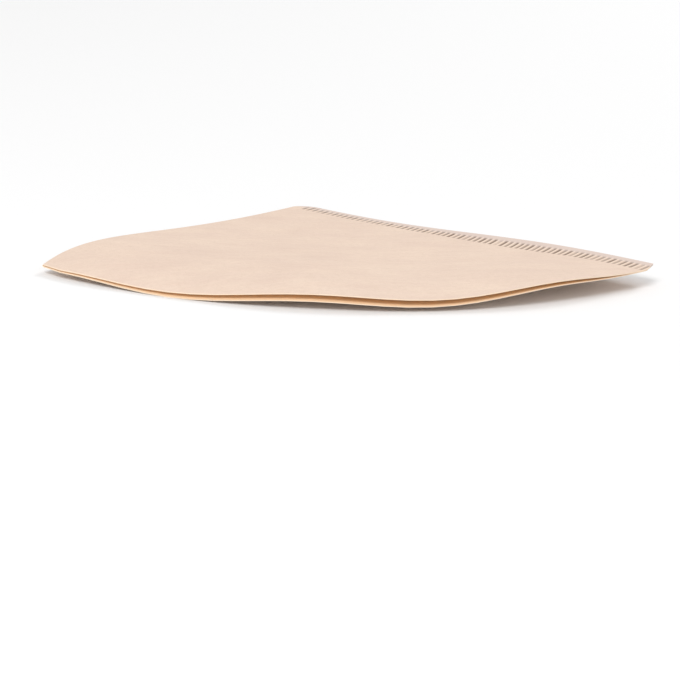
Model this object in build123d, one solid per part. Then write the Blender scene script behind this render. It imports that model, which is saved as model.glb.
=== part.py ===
from math import atan2, cos, hypot, pi, radians, sin, sqrt
import os

from build123d import *

# Flat cone filter: half a disc of thin paper, folded once and crimped shut
# along one straight edge. It lies with its tip at the back, its open rim at
# the front, the fold on the left and the crimped seam on the right.
# Lengths in mm, +Z up.

# The folded sheet in plan
side_length = 118.0
sector_angle = 90.0
tip_radius = 6.5
fold_corner_radius = 1.0
rim_straight = 22.0
corner_cut_seam = 2.6
corner_cut_rim = 6.0

# The paper, and the room that the fold and the mouth leave between its plies
paper_thickness = 0.2
fold_gap = 0.3
mouth_opening = 1.4
fold_bevel = 0.22

# The pressed seam band, and the crimps that hold its two plies together
band_width_tip = 5.7
band_width_rim = 8.4
crimp_pitch = 1.75
crimp_length_tip = 2.7
crimp_length_rim = 4.3
crimp_width = 0.95
crimp_depth = 0.3
crimp_wall_angle = 45.0
crimp_to_pocket = 0.6
crimp_to_tip = 2.1
crimp_to_rim = 2.2

# The gentle waves that the sheet takes when it lies free
fold_arch = 8.95
fold_droop = 0.88
fold_lean = -0.36
seam_rise = 4.3
seam_sway = 0.7
seam_lip = 1.53
seam_lip_width = 20.0
seam_lip_lag = 1.54
ripple_height = 0.98
ripple_spacing = 0.39
ripple_crest = 0.40

# The net of points that carries each curved skin
skin_margin = 7.0
skin_rows = 16
skin_columns = 20
skin_tolerance = 0.04

half_angle = radians(sector_angle) / 2
straight_angle = atan2(rim_straight, side_length)
tip = Vector(0, 0, 0)
up = Vector(0, 0, 1)


def toward(angle):
    """Direction from the tip, at an angle from the middle of the rim toward the seam."""
    return Vector(sin(angle), -cos(angle), 0)


toward_fold = toward(-half_angle)
toward_seam = toward(half_angle)
clear_height = 2 * side_length
pocket_tip = tip + toward_fold * band_width_tip + toward_seam * paper_thickness


def place_from(centre, x, y):
    """Distance from a centre, and turn from the fold edge (0) to the seam (1)."""
    run = centre.Y - y
    turn = atan2(x - centre.X, run) / (2 * half_angle) + 0.5
    return hypot(x - centre.X, run), turn


def crown(x, y):
    """Height of the sheet's top face above its tip."""
    distance, turn = place_from(tip, x, y)
    s = distance / side_length
    t = min(max(turn, -0.06), 1.06)
    seam_share = sin(pi * t / 2) ** 2
    along_fold = fold_arch * s**2 * (1 - fold_droop * s**6)
    along_seam = seam_rise * s - seam_sway * sin(2 * pi * s)
    lip = seam_lip * sin(pi * min(s, 1) ** seam_lip_lag) ** 3
    off_seam = distance * sin(2 * half_angle * (1 - turn))
    lip_share = max(0, 1 - off_seam / seam_lip_width) ** 3
    lean = fold_lean * s * cos(pi * t / 2)
    ripple = ripple_height * s**3 * cos(2 * pi * (t - ripple_crest) / ripple_spacing)
    ripple *= 1 - (2 * t - 1) ** 6
    edges = along_fold * (1 - seam_share) + (along_seam - lip) * seam_share
    return edges + lip * lip_share + lean + ripple


def gap(x, y):
    """Room between the plies: even at the fold and seam, widest at the mouth."""
    distance, turn = place_from(pocket_tip, x, y)
    t = min(max(turn, 0), 1)
    return fold_gap + mouth_opening * (distance / side_length) ** 1.5 * sin(pi * t) ** 1.2


def upper_ply_underside(x, y):
    return crown(x, y) - paper_thickness


def lower_ply_top(x, y):
    return upper_ply_underside(x, y) - gap(x, y)


def underside(x, y):
    return lower_ply_top(x, y) - paper_thickness


def off_fold(x, y):
    return x * cos(half_angle) - y * sin(half_angle)


def upper_bevel(x, y):
    """Slope that takes the upper edge off at the fold, where the paper bends over."""
    return crown(x, y) - fold_bevel + off_fold(x, y)


def lower_bevel(x, y):
    return underside(x, y) + fold_bevel - off_fold(x, y)


def skin(height):
    """Curved face over the whole sheet and a margin, at height(x, y)."""
    half_width = side_length * sin(half_angle) + skin_margin
    depth = side_length + 2 * skin_margin
    last = side_length + skin_margin
    net = []
    for column in range(skin_columns):
        x = half_width * (2 * column / (skin_columns - 1) - 1)
        line = []
        for row in range(skin_rows):
            y = skin_margin - depth * row / (skin_rows - 1)
            held = min(1, last / max(hypot(x, y), last / 2))
            line.append((x, y, height(x * held, y * held)))
        net.append(line)
    return Face.make_surface_from_array_of_points(net, tol=skin_tolerance)


def rim_corner(radius):
    """Where the straight end of the rim meets the seam edge."""
    return tip + toward_seam * (radius / cos(straight_angle))


def fan(radius):
    """Flat fan shape with its corner at the tip. Its round rim runs out straight at the seam."""
    fold_end = tip + toward_fold * radius
    arc_end = tip + toward(half_angle - straight_angle) * radius
    rim = ThreePointArc(fold_end, tip + toward(0) * radius, arc_end)
    straight = Line(arc_end, rim_corner(radius))
    return make_face([Line(tip, fold_end), rim, straight, Line(rim_corner(radius), tip)])


def round_corner(plan, corner, radius):
    nearest = plan.vertices().sort_by_distance(corner)[0]
    return fillet(nearest, radius)


def corner_cut():
    """The piece that is cut off slantwise where the rim meets the seam."""
    corner = rim_corner(side_length)
    arc_end = tip + toward(half_angle - straight_angle) * side_length
    on_seam = corner - toward_seam * corner_cut_seam
    on_rim = corner + (arc_end - corner).normalized() * corner_cut_rim
    beyond = corner * 2 - (on_seam + on_rim) * 0.5
    return make_face(Polyline(on_seam, beyond, on_rim, close=True))


def sheet_plan():
    plan = fan(side_length)
    plan = round_corner(plan, tip, tip_radius)
    plan = round_corner(plan, tip + toward_fold * side_length, fold_corner_radius)
    return plan - corner_cut()


def pocket_plan():
    """The open room: inside the fold and the seam band, out through the rim."""
    reach = 2 * side_length
    band_growth = (band_width_rim - band_width_tip) / side_length
    fold_far = pocket_tip + toward_fold * reach
    seam_far = pocket_tip + (toward_seam + toward_fold * band_growth) * reach
    corner = fold_far + toward_seam * reach
    inside = make_face(Polyline(pocket_tip, fold_far, corner, seam_far, close=True))
    return fan(side_length + skin_margin / 2) & inside


def column_over(plan):
    return extrude(Pos(0, 0, -clear_height) * plan, 2 * clear_height)


def between(plan, floor, roof):
    """Solid over a plan, from one curved skin up to another."""
    below_roof = extrude(skin(roof), clear_height, dir=-up)
    above_floor = extrude(skin(floor), clear_height, dir=up)
    return column_over(plan) & below_roof & above_floor


def tip_inset(distance):
    """How far the rounded tip lies in from the straight seam edge."""
    short = max(tip_radius - distance, 0)
    return tip_radius - sqrt(tip_radius**2 - short**2)


def crimp_length(distance):
    share = distance / side_length
    full = crimp_length_tip + (crimp_length_rim - crimp_length_tip) * share
    return full - tip_inset(distance - crimp_width / 2)


def crimp(distance, height, lift):
    """Blunt wedge, pointing down, at a distance along the seam from the tip."""
    length = crimp_length(distance)
    band = band_width_tip + (band_width_rim - band_width_tip) * distance / side_length
    inset = band - crimp_to_pocket - length / 2
    middle = tip + toward_seam * distance + toward_fold * inset

    def on_skin(point):
        return Vector(point.X, point.Y, height(point.X, point.Y))

    along = on_skin(middle + toward_fold) - on_skin(middle - toward_fold)
    across = on_skin(middle + toward_seam) - on_skin(middle - toward_seam)
    outward = along.cross(across).normalized()
    if outward.Z < 0:
        outward = -outward
    seat = Plane(on_skin(middle) + outward * lift, x_dir=along, z_dir=-outward)
    foot = Rectangle(length, crimp_width)
    return extrude(seat * foot, crimp_depth + lift, taper=crimp_wall_angle)


def crimp_places():
    """The row from tip to rim. A place with no room for a crimp longer than it is wide stays plain."""
    row = side_length - crimp_to_tip - crimp_to_rim
    places = [crimp_to_tip + crimp_pitch * number for number in range(int(row / crimp_pitch) + 1)]
    return [place for place in places if crimp_length(place) > crimp_width]


def folded_sheet():
    """Both plies, joined along the bevelled fold and in the seam band."""
    sheet = between(sheet_plan(), underside, crown) & between(sheet_plan(), lower_bevel, upper_bevel)
    return sheet - between(pocket_plan(), lower_ply_top, upper_ply_underside)


def crimped(sheet):
    """Each crimp is a groove in the upper ply and a ridge under the lower one."""
    lap = paper_thickness / 4
    grooves = [crimp(place, crown, lap) for place in crimp_places()]
    ridges = [crimp(place, underside, lap) for place in crimp_places()]
    return (sheet - grooves) + ridges


filter_paper = crimped(folded_sheet())
points, _ = filter_paper.tessellate(skin_tolerance / 4)
middle_x = (min(point.X for point in points) + max(point.X for point in points)) / 2
middle_y = (min(point.Y for point in points) + max(point.Y for point in points)) / 2
lowest_z = min(point.Z for point in points)
filter_paper = Pos(-middle_x, -middle_y, -lowest_z) * filter_paper

os.makedirs("parts", exist_ok=True)
export_step(filter_paper, "parts/filter_paper.step")
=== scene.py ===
from math import pi, radians, sqrt
import bpy
from mathutils import Matrix, Vector


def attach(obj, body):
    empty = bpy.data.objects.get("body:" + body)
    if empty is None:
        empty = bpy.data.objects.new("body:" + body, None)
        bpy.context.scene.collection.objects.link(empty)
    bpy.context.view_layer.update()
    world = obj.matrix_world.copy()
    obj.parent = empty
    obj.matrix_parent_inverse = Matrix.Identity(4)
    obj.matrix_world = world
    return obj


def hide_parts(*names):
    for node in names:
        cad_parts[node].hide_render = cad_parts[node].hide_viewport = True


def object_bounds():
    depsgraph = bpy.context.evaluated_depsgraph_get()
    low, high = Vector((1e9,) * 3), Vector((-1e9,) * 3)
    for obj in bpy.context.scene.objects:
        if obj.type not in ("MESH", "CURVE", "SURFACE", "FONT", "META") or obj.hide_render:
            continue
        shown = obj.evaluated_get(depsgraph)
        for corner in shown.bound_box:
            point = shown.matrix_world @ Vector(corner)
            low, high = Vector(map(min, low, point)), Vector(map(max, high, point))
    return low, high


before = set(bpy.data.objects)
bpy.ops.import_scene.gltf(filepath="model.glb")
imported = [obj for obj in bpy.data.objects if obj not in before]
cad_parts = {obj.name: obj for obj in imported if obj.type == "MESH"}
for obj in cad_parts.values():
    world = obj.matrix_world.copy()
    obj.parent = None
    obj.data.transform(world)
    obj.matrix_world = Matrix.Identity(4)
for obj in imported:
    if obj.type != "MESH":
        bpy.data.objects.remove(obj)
cad_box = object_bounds()

# The camera stands low in front of the open rim, a little to the left, and is
# tilted. It looks at a point below the table, because the filter fills
# only the upper part of the picture.
camera_place = (-0.1657, -0.8593, 0.2099)
camera_turn = radians(11.065)
camera_dip = radians(14.902)
camera_roll = radians(3.619)
camera_lens = 174.0

camera = bpy.data.objects.new("camera", bpy.data.cameras.new("camera"))
bpy.context.scene.collection.objects.link(camera)
bpy.context.scene.camera = camera
camera.data.lens = camera_lens
camera.location = camera_place
camera_turning = Matrix.Rotation(-camera_turn, 3, "Z") @ Matrix.Rotation(pi / 2 - camera_dip, 3, "X")
camera.rotation_euler = (camera_turning @ Matrix.Rotation(camera_roll, 3, "Z")).to_euler()
bpy.context.scene.view_settings.view_transform = "Standard"


# The filter is one half-round sheet of unbleached filter paper, folded in two
# along the left side. The plies are pressed together in a band along the right
# side, by the crimps of a toothed roller, and stay open at the curved rim.
class Amount:
    """A number that a node tree works out at each point, so that it can be written as a formula."""

    def __init__(self, socket):
        self.socket = socket

    def __add__(self, other):
        return worked_out("ADD", self, other)

    def __radd__(self, other):
        return worked_out("ADD", other, self)

    def __sub__(self, other):
        return worked_out("SUBTRACT", self, other)

    def __rsub__(self, other):
        return worked_out("SUBTRACT", other, self)

    def __mul__(self, other):
        return worked_out("MULTIPLY", self, other)

    def __rmul__(self, other):
        return worked_out("MULTIPLY", other, self)

    def __truediv__(self, other):
        return worked_out("DIVIDE", self, other)

    def __pow__(self, power):
        return worked_out("POWER", self, power)


def worked_out(operation, *values):
    """An Amount from one math node, in the tree of the values that are Amounts themselves."""
    tree = next(value.socket.id_data for value in values if isinstance(value, Amount))
    node = tree.nodes.new("ShaderNodeMath")
    node.operation = operation
    for place, value in enumerate(values):
        if isinstance(value, Amount):
            tree.links.new(value.socket, node.inputs[place])
        else:
            node.inputs[place].default_value = value
    return Amount(node.outputs[0])


def sine(angle):
    return worked_out("SINE", angle)


def cosine(angle):
    return worked_out("COSINE", angle)


def lesser(one, other):
    return worked_out("MINIMUM", one, other)


def greater(one, other):
    return worked_out("MAXIMUM", one, other)


def between(value, low, high):
    """0 up to low, 1 from high, and straight in between."""
    return lesser(greater((value - low) / (high - low), 0), 1)


def eased(share):
    """A share from 0 to 1 that starts and ends gently."""
    return share * share * (3 - 2 * share)


mm = 0.001
sheet_sizes = {
    "Side length": 118 * mm,
    "Tip radius": 6.5 * mm,
    "Fold corner radius": 1 * mm,
    "Rim straight": 22 * mm,
    "Corner cut at seam": 2.6 * mm,
    "Corner cut at rim": 6 * mm,
    "Paper thickness": 0.2 * mm,
    "Fold gap": 0.3 * mm,
    "Pressed gap": 0.02 * mm,
    "Mouth opening": 1.4 * mm,
    "Band width at tip": 5.7 * mm,
    "Band width at rim": 8.4 * mm,
    "Crimp pitch": 1.75 * mm,
    "Crimp length at tip": 2.7 * mm,
    "Crimp length at rim": 4.3 * mm,
    "Crimp depth": 0.38 * mm,
    "Crimp softness": 0.35 * mm,
    "Crimp to pocket": 1.0 * mm,
    "First crimp": 2.1 * mm,
    "Plain at tip": 0.8 * mm,
    "Crimps full from tip": 2 * mm,
    "Crimp to rim": -1.0 * mm,
    "Fold arch": 8.95 * mm,
    "Fold droop": 0.88,
    "Fold lean": -0.36 * mm,
    "Seam rise": 4.3 * mm,
    "Seam sway": 0.7 * mm,
    "Seam lip": 1.53 * mm,
    "Seam lip width": 20 * mm,
    "Seam lip lag": 1.54,
    "Ripple height": 0.98 * mm,
    "Ripple spacing": 0.39,
    "Ripple crest": 0.40,
    "Tip height": 1.38 * mm,
}
rows_a_crimp = 6
ply_columns = 48
band_share = 16 / ply_columns
bend_share = 4 / ply_columns
widest_band = 0.6
weakest_crimp = 0.75
plies_apart_by = 1 / 8

rule = bpy.data.node_groups.new("folded sheet", "GeometryNodeTree")
rule.is_modifier = True
rule.interface.new_socket("Geometry", in_out="OUTPUT", socket_type="NodeSocketGeometry")
for name, value in sheet_sizes.items():
    rule.interface.new_socket(name, in_out="INPUT", socket_type="NodeSocketFloat").default_value = value
for name in ("Rows", "Columns", "Seed"):
    rule.interface.new_socket(name, in_out="INPUT", socket_type="NodeSocketInt")
rule.interface.new_socket("Paper", in_out="INPUT", socket_type="NodeSocketMaterial")
given = rule.nodes.new("NodeGroupInput")
result = rule.nodes.new("NodeGroupOutput")


def size(name):
    return Amount(given.outputs[name])


def added(kind, **inputs):
    """A node of the rule's tree, with its inputs linked or set."""
    node = rule.nodes.new(kind)
    for name, value in inputs.items():
        socket = node.inputs[name.replace("_", " ")]
        if isinstance(value, bpy.types.NodeSocket):
            rule.links.new(value, socket)
        else:
            socket.default_value = value
    return node


grid = added("GeometryNodeMeshGrid", Size_X=1, Size_Y=1)
rule.links.new(given.outputs["Columns"], grid.inputs["Vertices X"])
rule.links.new(given.outputs["Rows"], grid.inputs["Vertices Y"])
grid_place = added("ShaderNodeSeparateXYZ", Vector=added("GeometryNodeInputPosition").outputs[0])
kept = added("GeometryNodeCaptureAttribute", Geometry=grid.outputs["Mesh"])
for number, name in enumerate(("across", "along")):
    kept.capture_items.new("FLOAT", name)
    rule.links.new(grid_place.outputs[number], kept.inputs[name])
across = Amount(kept.outputs["across"]) + 0.5
along = Amount(kept.outputs["along"]) + 0.5

# From the cut edges at the seam (0) to the fold (1), on either ply.
lower_ply = worked_out("GREATER_THAN", across, 0.5)
from_seam = 1 - worked_out("ABSOLUTE", 1 - 2 * across)

tip_radius = size("Tip radius")
side_length = size("Side length")
bend_radius = size("Paper thickness") + size("Fold gap") / 2
nearest = tip_radius * (sqrt(2) - 1)
reach = nearest + (side_length - nearest) * along
arc = reach * (pi / 2)
band_grown = size("Band width at rim") - size("Band width at tip")
band = lesser(size("Band width at tip") + band_grown * (reach / side_length), arc * widest_band)
in_band = band * between(from_seam, 0, band_share)
in_ply = (arc - bend_radius - band) * between(from_seam, band_share, 1 - bend_share)
from_edge = greater(in_band + in_ply, 0)
seam_angle = from_edge / reach
bend = between(from_seam, 1 - bend_share, 1) * (pi / 2)

# The rounded tip, and the rim: its corner is rounded at the fold. At the seam it
# runs out straight, and its corner is cut off slantwise.
tip_spread = tip_radius * (sine(seam_angle) + cosine(seam_angle))
tip_inset = tip_spread - worked_out("SQRT", greater(tip_spread * tip_spread - tip_radius * tip_radius, 0))
seam_corner = size("Corner cut at seam") * greater(1 - from_edge / size("Corner cut at rim"), 0)
corner_radius = size("Fold corner radius")
off_fold = greater(arc - from_edge - bend_radius, 0)
in_corner = greater(corner_radius - off_fold, 0)
fold_corner = corner_radius - worked_out("SQRT", corner_radius * corner_radius - in_corner * in_corner)
straight_angle = worked_out("ARCTANGENT", size("Rim straight") / side_length)
round_rim = side_length / cosine(greater(straight_angle - seam_angle, 0))
rim_reach = round_rim - seam_corner - fold_corner
distance = tip_inset * (1 - along) + rim_reach * along
along_seam = distance * cosine(seam_angle)
off_seam = distance * sine(seam_angle)

# The waves that the sheet lies in, as in the solid part.
share = distance / side_length
turn = 1 - seam_angle / (pi / 2)
seam_share = sine(turn * (pi / 2)) * sine(turn * (pi / 2))
fold_height = size("Fold arch") * share**2 * (1 - size("Fold droop") * share**6)
seam_height = size("Seam rise") * share - size("Seam sway") * sine(share * (2 * pi))
lean = size("Fold lean") * share * cosine(turn * (pi / 2))
ripple = size("Ripple height") * share**3
ripple = ripple * cosine((turn - size("Ripple crest")) * (2 * pi) / size("Ripple spacing"))
ripple = ripple * (1 - (2 * turn - 1) ** 6)
lip = size("Seam lip") * sine(share ** size("Seam lip lag") * pi) ** 3
lip_share = greater(1 - off_seam / size("Seam lip width"), 0) ** 3
crown = fold_height * (1 - seam_share) + (seam_height - lip) * seam_share + lip * lip_share + lean + ripple

# Each crimp presses both plies down. The row starts clear of the tip, and some
# crimps are pressed less deep than others.
crimp_count = (along_seam - size("First crimp")) / size("Crimp pitch") + 0.5
crimp_length = size("Crimp length at tip")
crimp_length = crimp_length + (size("Crimp length at rim") - crimp_length) * share
crimp_inner = band - size("Crimp to pocket")
crimp_outer = crimp_inner - crimp_length
softness = size("Crimp softness")
crimp_hold = eased(between(off_seam, crimp_outer - 2 * softness, crimp_outer - softness))
crimp_hold = crimp_hold * (1 - eased(between(off_seam, crimp_inner - softness, crimp_inner + softness)))
last_crimp = side_length - size("Crimp to rim")
crimp_hold = crimp_hold * (1 - between(along_seam, last_crimp - size("Crimp pitch"), last_crimp))
off_tip = between(distance - tip_inset, size("Plain at tip"), size("Crimps full from tip"))
crimp_hold = crimp_hold * between(crimp_count, 0, 0.2) * eased(off_tip)
chance = added("ShaderNodeTexWhiteNoise")
chance.noise_dimensions = "1D"
which_crimp = worked_out("FLOOR", crimp_count) + Amount(given.outputs["Seed"])
rule.links.new(which_crimp.socket, chance.inputs["W"])
crimp_hold = crimp_hold * (weakest_crimp + (1 - weakest_crimp) * Amount(chance.outputs["Value"]))
crimp_wave = 0.5 - 0.5 * cosine(crimp_count * (2 * pi))
press = size("Crimp depth") * crimp_hold * crimp_wave

# The room between the plies: shut in the band, widest at the mouth.
past_band = between(from_edge, band, arc - bend_radius)
room = size("Pressed gap")
room = room + (size("Fold gap") - room) * eased(lesser(past_band / plies_apart_by, 1))
room = room + size("Mouth opening") * share**1.5 * greater(sine(past_band * pi), 0) ** 1.2

# The paper's thickness: the sheet is extruded, so that its top is the outer face
# and its sides are the cut edges. A copy turned inside out is the inner face.
extruded = added("GeometryNodeExtrudeMesh", Mesh=kept.outputs["Geometry"], Offset_Scale=0, Individual=False)
outside = added("GeometryNodeCaptureAttribute", Geometry=extruded.outputs["Mesh"])
outside.capture_items.new("FLOAT", "outside")
rule.links.new(extruded.outputs["Top"], outside.inputs["outside"])
inside_out = added("GeometryNodeFlipFaces", Mesh=kept.outputs["Geometry"])
both_faces = added("GeometryNodeJoinGeometry")
rule.links.new(outside.outputs["Geometry"], both_faces.inputs[0])
rule.links.new(inside_out.outputs["Mesh"], both_faces.inputs[0])

bend_reach = bend_radius - size("Paper thickness") * (1 - Amount(outside.outputs["outside"]))
bend_out = bend_reach * sine(bend)
slant = sqrt(0.5)
tip_y = cad_box[0][1] + sheet_sizes["Side length"]
place = added("ShaderNodeCombineXYZ")
x = (along_seam - off_seam - bend_out) * slant
y = tip_y - (along_seam + off_seam - bend_out) * slant
z = size("Tip height") + crown - press - bend_radius
z = z + bend_reach * cosine(bend) * (1 - 2 * lower_ply) - lower_ply * (room - size("Fold gap"))
for number, amount in enumerate((x, y, z)):
    rule.links.new(amount.socket, place.inputs[number])
shaped = added("GeometryNodeSetPosition", Geometry=both_faces.outputs[0], Position=place.outputs[0])
joined_within = 0.0001 * mm
closed = added("GeometryNodeMergeByDistance", Geometry=shaped.outputs[0], Distance=joined_within)


def with_mark(geometry, name, amount):
    """The geometry with an amount kept on its points, for the paper's pattern and its painted light and
    shade.
    """
    node = added("GeometryNodeStoreNamedAttribute", Geometry=geometry, Name=name, Value=amount.socket)
    return node.outputs[0]


marked = with_mark(closed.outputs[0], "crimp_count", crimp_count)
marked = with_mark(marked, "crimp_hold", crimp_hold)
marked = with_mark(marked, "off_seam", off_seam)
closed_tip, open_from = 0.08, 0.16
# The inner faces are marked for a painted golden glow, from a little way off the tip.
inside = (1 - Amount(outside.outputs["outside"])) * between(share, closed_tip, open_from)
marked = with_mark(marked, "inside", inside)
# The cut rim, the last row, is marked for its painted highlight.
last_row = 0.9999
marked = with_mark(marked, "cut_rim", worked_out("GREATER_THAN", along, last_row))
smooth = added("GeometryNodeSetShadeSmooth", Geometry=marked)
cut_edge = added("GeometryNodeSetShadeSmooth", Geometry=smooth.outputs[0], Shade_Smooth=False)
cut_edge.domain = "EDGE"
edge_angle = Amount(added("GeometryNodeInputMeshEdgeAngle").outputs["Unsigned Angle"])
sharp_from = radians(55)
sharp = worked_out("GREATER_THAN", edge_angle, sharp_from)
rule.links.new(sharp.socket, cut_edge.inputs["Selection"])
whole = added("GeometryNodeRealizeInstances", Geometry=cut_edge.outputs[0])
papered = added("GeometryNodeSetMaterial", Geometry=whole.outputs[0], Material=given.outputs["Paper"])
rule.links.new(papered.outputs[0], result.inputs[0])

# The paper is mottled, with faint lines across it and short fibres that show
# from close by. The crimp grooves are painted darker: pressed paper is a little darker, and the rest is
# painted shade in the grooves. The ridges between them and the cut rim get a painted highlight, the plain
# edge outside the crimps is greyer, and the inner faces get a painted golden glow for the light between the
# plies.
warm_paper = (0.815, 0.635, 0.53, 1)
pale_paper = (0.88, 0.70, 0.575, 1)
grain_brown = (0.70, 0.545, 0.43, 1)
line_cream = (0.90, 0.76, 0.64, 1)
fibre_brown = (0.62, 0.46, 0.34, 1)
# A painted golden glow for the inner faces, standing in for the light between the plies.
painted_inner_glow = (1.0, 0.74, 0.49, 1)
# A painted highlight for the cut rim, which faces the front lamp.
painted_rim_highlight = (1.0, 0.80, 0.61, 1)
edge_grey = (0.72, 0.60, 0.545, 1)
# A painted highlight for the crimp ridges, as if they faced the lamp.
painted_ridge_highlight = (0.95, 0.79, 0.66, 1)
# Painted shade for the crimp grooves, with a little of the pressed paper's own darker tone.
groove_tone_and_shade_brown = (0.17, 0.105, 0.065, 1)
cloud_size = 9 * mm
grain_size = 0.9 * mm
line_spacing = 1.6 * mm
fibre_width = 0.16 * mm
grey_until, plain_from = 2.2 * mm, 3.6 * mm

paper = bpy.data.materials.new("unbleached paper")
paper.use_nodes = True
paper_nodes = paper.node_tree.nodes
paper_links = paper.node_tree.links
paper_shader = paper_nodes["Principled BSDF"]
paper_place = paper_nodes.new("ShaderNodeTexCoord").outputs["Object"]


def mark(name):
    """A number that the rule kept on the sheet's points."""
    node = paper_nodes.new("ShaderNodeAttribute")
    node.attribute_name = name
    return Amount(node.outputs["Fac"])


def cloud(feature, turned, stretch, detail):
    """Noise about as large as the feature, longer by the stretch along its own turned x."""
    placed = paper_nodes.new("ShaderNodeMapping")
    placed.vector_type = "TEXTURE"
    placed.inputs["Rotation"].default_value = (0, 0, radians(turned))
    placed.inputs["Scale"].default_value = (feature * stretch, feature, feature)
    noise = paper_nodes.new("ShaderNodeTexNoise")
    noise.inputs["Scale"].default_value = 1
    noise.inputs["Detail"].default_value = detail
    paper_links.new(paper_place, placed.inputs["Vector"])
    paper_links.new(placed.outputs["Vector"], noise.inputs["Vector"])
    return Amount(noise.outputs["Fac"])


def toned(share, plain, changed):
    """One tone over another. Each tone is a colour or the output of an earlier one."""
    node = paper_nodes.new("ShaderNodeMix")
    node.data_type = "RGBA"
    factor, below, above = (node.inputs[place] for place in (0, 6, 7))
    paper_links.new(share.socket, factor)
    for socket, tone in ((below, plain), (above, changed)):
        if isinstance(tone, tuple):
            socket.default_value = tone
        else:
            paper_links.new(tone, socket)
    return node.outputs[2]


def flecks(turned):
    """Short fibres that lie one way, 1 where one shows."""
    return between(cloud(fibre_width, turned, 9, 1), 0.62, 0.72)


fibres = greater(greater(flecks(20), flecks(75)), greater(flecks(-40), flecks(-80)))
clouds = between(cloud(cloud_size, 0, 1.6, 3), 0.3, 0.7)
grain = between(cloud(grain_size, 0, 1.5, 3), 0.25, 0.75)
cross_lines = between(cloud(line_spacing, 4, 14, 2), 0.35, 0.65)
tone = toned(clouds, warm_paper, pale_paper)
tone = toned(grain * 0.35, tone, grain_brown)
tone = toned(cross_lines * 0.16, tone, line_cream)
tone = toned(fibres * 0.22, tone, fibre_brown)

# The inner faces between the plies get a painted golden glow.
tone = toned(mark("inside"), tone, painted_inner_glow)
# The cut rim gets a painted highlight.
tone = toned(mark("cut_rim") * 0.9, tone, painted_rim_highlight)
plain_edge = 1 - eased(between(mark("off_seam"), grey_until, plain_from))
tone = toned(plain_edge * 0.75, tone, edge_grey)

# The crimp grooves are painted dark: pressed paper is a little darker, and most of the dark is painted
# shade in the grooves. Some crimps get more of it than others.
from_groove = worked_out("ABSOLUTE", worked_out("FRACT", mark("crimp_count")) - 0.5) * 2
groove_tone_and_shade_noise = paper_nodes.new("ShaderNodeTexNoise")
groove_tone_and_shade_noise.noise_dimensions = "1D"
paper_links.new((mark("crimp_count") * 0.17).socket, groove_tone_and_shade_noise.inputs["W"])
groove_tone_and_shade_strength = mark("crimp_hold") * between(Amount(groove_tone_and_shade_noise.outputs["Fac"]), 0.1, 0.6)
groove_tone_and_shade = groove_tone_and_shade_strength * (1 - eased(between(from_groove, 0.2, 0.75)))
# The ridges between the grooves get a painted highlight.
ridge_highlight_share = mark("crimp_hold") * eased(between(from_groove, 0.65, 0.95))
tone = toned(ridge_highlight_share * 0.8, tone, painted_ridge_highlight)
tone = toned(groove_tone_and_shade, tone, groove_tone_and_shade_brown)
paper_links.new(tone, paper_shader.inputs["Base Color"])

roughness = 0.82 + 0.12 * grain - 0.18 * groove_tone_and_shade
paper_links.new(roughness.socket, paper_shader.inputs["Roughness"])
paper_shader.inputs["Specular IOR Level"].default_value = 0.25
relief = paper_nodes.new("ShaderNodeBump")
relief.inputs["Strength"].default_value = 0.5
relief.inputs["Distance"].default_value = 0.05 * mm
paper_links.new((fibres * 0.5 + grain + cross_lines * 0.6).socket, relief.inputs["Height"])
paper_links.new(relief.outputs["Normal"], paper_shader.inputs["Normal"])

# The rule is run once, and its mesh is the filter.
blank = bpy.data.objects.new("sheet rule", bpy.data.meshes.new("sheet rule"))
bpy.context.scene.collection.objects.link(blank)
folding = blank.modifiers.new("folded sheet", "NODES")
folding.node_group = rule
settings = dict(sheet_sizes)
settings["Rows"] = int(sheet_sizes["Side length"] / sheet_sizes["Crimp pitch"] * rows_a_crimp) + 1
settings["Columns"] = 2 * ply_columns + 1
settings["Seed"] = 7
settings["Paper"] = paper
for item in rule.interface.items_tree:
    if item.in_out == "INPUT":
        folding[item.identifier] = settings[item.name]
evaluated = blank.evaluated_get(bpy.context.evaluated_depsgraph_get())
folded_paper = bpy.data.objects.new("folded_paper", bpy.data.meshes.new_from_object(evaluated))
bpy.context.scene.collection.objects.link(folded_paper)
bpy.data.objects.remove(blank)
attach(folded_paper, "root")
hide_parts("filter_paper")

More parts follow.
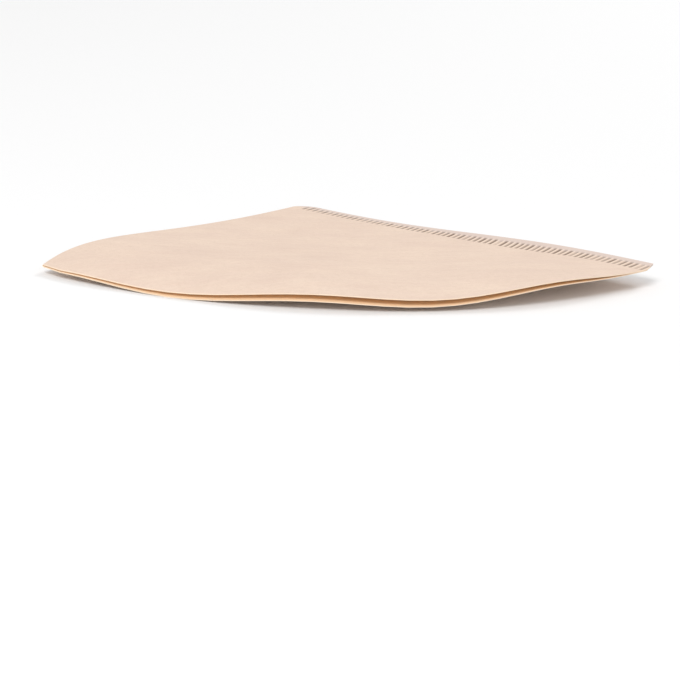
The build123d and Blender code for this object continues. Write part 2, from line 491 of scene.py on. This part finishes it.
# The table is a plain white sheet, and the room round it is white too. Both
# look white to the camera, and the table keeps the filter's soft shadow.
table_half_width = 3.0
table_tone = (0.97, 0.97, 0.97, 1)
table_mesh = bpy.data.meshes.new("table")
corner_signs = [(-1, -1), (1, -1), (1, 1), (-1, 1)]
table_corners = [(side * table_half_width, end * table_half_width, 0) for side, end in corner_signs]
table_mesh.from_pydata(table_corners, [], [(0, 1, 2, 3)])
table = bpy.data.objects.new("table", table_mesh)
bpy.context.scene.collection.objects.link(table)
table_paint = bpy.data.materials.new("white table")
table_paint.use_nodes = True
table_shader = table_paint.node_tree.nodes["Principled BSDF"]
table_shader.inputs["Base Color"].default_value = table_tone
table_shader.inputs["Roughness"].default_value = 1
table_mesh.materials.append(table_paint)

world = bpy.data.worlds.new("white room")
world.use_nodes = True
bpy.context.scene.world = world
room_nodes = world.node_tree.nodes
room_links = world.node_tree.links
room_light = room_nodes["Background"]
room_light.inputs["Color"].default_value = (1, 1, 1, 1)
room_light.inputs["Strength"].default_value = 0.55
room_seen = room_nodes.new("ShaderNodeBackground")
room_ray = room_nodes.new("ShaderNodeLightPath")
room_mix = room_nodes.new("ShaderNodeMixShader")
seen = Amount(room_ray.outputs["Is Camera Ray"])
for kind in ("Is Glossy Ray", "Is Transmission Ray"):
    seen = greater(seen, Amount(room_ray.outputs[kind]))
room_seen.inputs["Color"].default_value = (1, 1, 1, 1)
room_links.new(seen.socket, room_mix.inputs["Fac"])
room_links.new(room_light.outputs[0], room_mix.inputs[1])
room_links.new(room_seen.outputs[0], room_mix.inputs[2])
room_links.new(room_mix.outputs[0], room_nodes["World Output"].inputs["Surface"])


# Two wide lamps light it: one high in front on the left, one behind on the right.
def wide_lamp(name, place, width, power):
    """A square lamp that is aimed at the filter."""
    data = bpy.data.lights.new(name, "AREA")
    data.size = width
    data.energy = power
    lamp = bpy.data.objects.new(name, data)
    lamp.location = place
    lamp.rotation_euler = Vector(place).to_track_quat("Z", "Y").to_euler()
    bpy.context.scene.collection.objects.link(lamp)


wide_lamp("front lamp", (-0.5, -0.9, 1.0), 0.6, 10)
wide_lamp("back lamp", (0.8, 0.7, 0.9), 0.5, 5)
